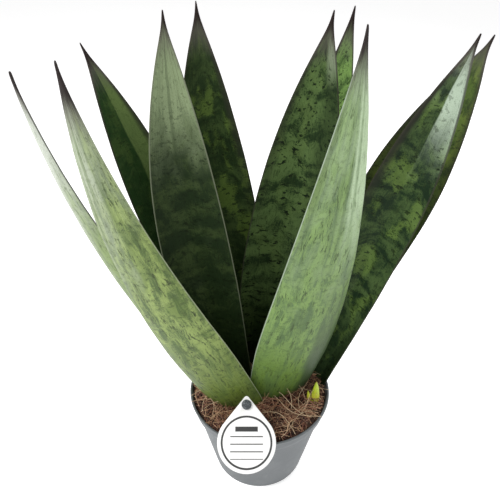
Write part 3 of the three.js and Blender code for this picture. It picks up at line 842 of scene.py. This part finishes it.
bpy.ops.mesh.normals_make_consistent(inside=False)
bpy.ops.object.mode_set(mode="OBJECT")
bpy.ops.mesh.primitive_cylinder_add(vertices=40, radius=HOLE_RADIUS, depth=0.01, location=(0, HOLE_REACH, 0))
punch = bpy.context.object
apply_modifier(label, "BOOLEAN", operation="DIFFERENCE", object=punch, solver="EXACT")
bpy.data.objects.remove(punch)
apply_modifier(label, "BEVEL", width=0.00012, segments=2, limit_method="ANGLE", angle_limit=math.radians(60))
bpy.ops.object.mode_set(mode="EDIT")
bpy.ops.mesh.select_all(action="SELECT")
turn_selected((LABEL_SLOPE, 0, 0))
bpy.ops.transform.translate(value=LABEL_CENTRE)
bpy.ops.object.mode_set(mode="OBJECT")
smooth_by_angle(label, 30)

card = Finish("label_card_print", Roughness=0.38, Specular_IOR_Level=0.5)
on_card = card.node(
    "ShaderNodeMapping",
    {"vector_type": "TEXTURE"},
    {"Vector": card.place(), "Location": LABEL_CENTRE, "Rotation": (LABEL_SLOPE, 0, 0)},
)
parts = card.node("ShaderNodeSeparateXYZ", sockets={"Vector": on_card})
card_y = parts.partner("Y")
card_z = parts.partner("Z")
from_middle = card.node("ShaderNodeVectorMath", {"operation": "LENGTH"},
                        {0: card.point(parts, card_y)}, output="Value")
border = (from_middle - BORDER_RADIUS).size().between(0.00085, 0.00070)
row = (card_y + 0.0012) / RULE_SPACING
nearest = card.node("ShaderNodeMath", {"operation": "ROUND"}, {0: row})
ruled = ((row - nearest) * RULE_SPACING).size().between(0.00048, 0.00034)
ruled = ruled * (card_y + 0.0028).size().between(0.0100, 0.0096) * parts.size().between(0.0130, 0.0126)
heading = (card_y - 0.0100).size().between(0.0020, 0.0018) * parts.size().between(0.0090, 0.0087)
ink = (border + ruled + heading).between(0.1, 0.9) * card_z.between(0.0004, 0.0006)
scuff = card.mottle(card.place(), 240.0, 4.0, 0.6)
colour = card.tint(scuff.between(0.5, 0.8) * 0.25, (0.86, 0.86, 0.85, 1), (0.74, 0.73, 0.70, 1))
card.wear(Base_Color=card.tint(ink, colour, (0.035, 0.035, 0.035, 1)))
card.relief(scuff, 0.00004)
card.put_on(label)
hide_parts("label_card")
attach(label, "root")

# ------------------------------------------------------------------ peg
# A dark moulded peg: its domed head and neck button the label on, and its pointed blade goes into the soil.

BLADE_WIDE = 0.004
BLADE_THICK = 0.0016

peg = ring_piece("label_peg_moulding", [
    (0.0020, -0.00195), (0.0027, -0.00190), (0.0029, -0.0017), (0.0029, -0.0006), (0.0027, -0.00040),
    (0.0020, -0.00036), (0.0020, 0.00115), (0.0034, 0.00116), (0.0038, 0.0013), (0.0039, 0.0017),
    (0.0037, 0.0022), (0.0031, 0.0026), (0.0020, 0.0029), (0.0008, 0.00295),
], 40)
bpy.ops.object.mode_set(mode="EDIT")
bpy.ops.mesh.select_all(action="SELECT")
bpy.ops.transform.translate(value=(0, HOLE_REACH, 0))
turn_selected((LABEL_SLOPE, 0, 0))
bpy.ops.transform.translate(value=LABEL_CENTRE)
bpy.ops.object.mode_set(mode="OBJECT")
low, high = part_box("label_peg")
blade_top = LABEL_CENTRE[2] + HOLE_REACH * math.sin(LABEL_SLOPE) - 0.001
blade_back = LABEL_CENTRE[1] + HOLE_REACH * math.cos(LABEL_SLOPE) + BLADE_THICK
bpy.ops.mesh.primitive_cube_add(
    size=1, location=(LABEL_CENTRE[0], blade_back - BLADE_THICK / 2, (low.z + blade_top) / 2))
blade = bpy.context.object
bpy.ops.object.mode_set(mode="EDIT")
bpy.ops.mesh.select_all(action="SELECT")
bpy.ops.transform.resize(value=(BLADE_WIDE, BLADE_THICK, blade_top - low.z))
bpy.ops.mesh.bisect(plane_co=(0, 0, low.z + 0.008), plane_no=(0, 0, 1))
select_by(blade.data, lambda corner: (blade.matrix_world @ corner.co).z < low.z + 0.001)
bpy.ops.transform.resize(value=(0.12, 1, 1))
bpy.ops.object.mode_set(mode="OBJECT")
bpy.ops.object.transform_apply(location=True, rotation=True, scale=True)
apply_modifier(blade, "BEVEL", width=0.0003, segments=2, limit_method="ANGLE", angle_limit=math.radians(50))
peg.select_set(True)
bpy.context.view_layer.objects.active = peg
bpy.ops.object.join()
smooth_by_angle(peg, 40)

dark_moulding = Finish("dark_moulding", Specular_IOR_Level=0.5)
where = dark_moulding.place()
# Pale specks over the dark plastic: partly scuffing, partly a painted speckled highlight.
scuff_and_glint_specks = dark_moulding.mottle(where, 900.0, 4.0, 0.7)
colour = dark_moulding.tint(scuff_and_glint_specks.between(0.5, 0.68), (0.035, 0.042, 0.046, 1), (0.17, 0.19, 0.20, 1))
dark_moulding.wear(Base_Color=colour, Roughness=0.32 + 0.3 * scuff_and_glint_specks)
dark_moulding.relief(scuff_and_glint_specks, 0.00012)
dark_moulding.put_on(peg)
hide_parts("label_peg")
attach(peg, "root")
